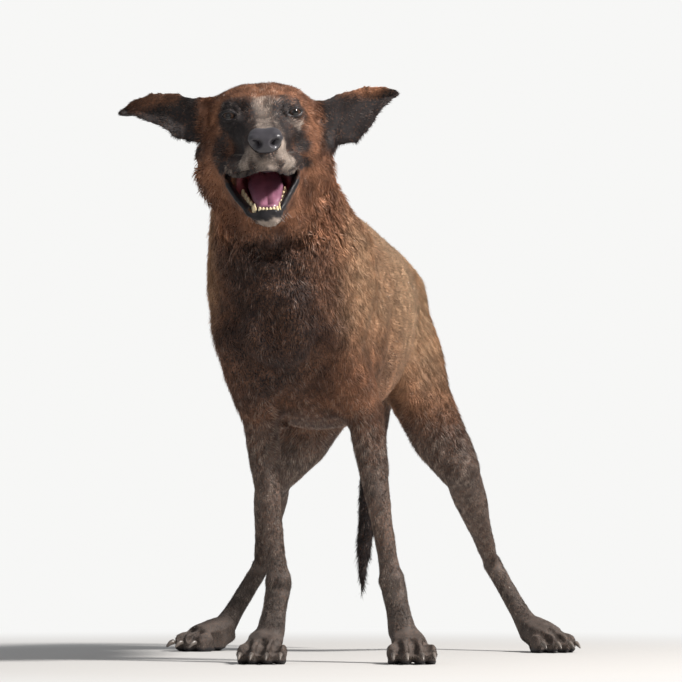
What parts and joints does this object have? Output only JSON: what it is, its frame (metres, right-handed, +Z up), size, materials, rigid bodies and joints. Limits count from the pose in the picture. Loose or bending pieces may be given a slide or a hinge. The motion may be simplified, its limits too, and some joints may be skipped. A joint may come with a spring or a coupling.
{
  "type": "dog",
  "caption": "Life-size still model of a short-coated reddish-brown dog, standing with splayed legs, ears held out sideways and mouth open.",
  "frame": {"origin": "on the floor, under the middle of the dog's bounding box", "axes": "+Z up; the dog's body runs along Y and its chest faces -Y; its left side is +X"},
  "size_m": [0.5098, 0.806, 0.6667],
  "materials": {
    "coat": "short reddish-brown coat",
    "dark_coat": "short dark brown to black coat",
    "eye": "wet dark brown",
    "nose": "damp grey-black",
    "tongue": "wet pink",
    "claw": "pale horn"
  },
  "bodies": {
    "root": {"claw_fore_left_inner": "claw", "claw_fore_left_middle_inner": "claw", "claw_fore_left_middle_outer": "claw", "claw_fore_left_outer": "claw", "claw_fore_right_inner": "claw", "claw_fore_right_middle_inner": "claw", "claw_fore_right_middle_outer": "claw", "claw_fore_right_outer": "claw", "claw_hind_left_inner": "claw", "claw_hind_left_middle_inner": "claw", "claw_hind_left_middle_outer": "claw", "claw_hind_left_outer": "claw", "claw_hind_right_inner": "claw", "claw_hind_right_middle_inner": "claw", "claw_hind_right_middle_outer": "claw", "claw_hind_right_outer": "claw", "ear_left": "dark_coat", "ear_right": "dark_coat", "eye_left": "eye", "eye_right": "eye", "fore_paw_left": "dark_coat", "fore_paw_right": "dark_coat", "forearm_left": "dark_coat", "forearm_right": "dark_coat", "head": "coat", "hind_paw_left": "dark_coat", "hind_paw_right": "dark_coat", "lower_jaw": "coat", "neck": "coat", "nose": "nose", "pastern_left": "dark_coat", "pastern_right": "dark_coat", "shank_left": "dark_coat", "shank_right": "dark_coat", "tail": "dark_coat", "thigh_left": "coat", "thigh_right": "coat", "tongue": "tongue", "trunk": "coat", "upper_arm_left": "coat", "upper_arm_right": "coat"}
  },
  "joints": []
}
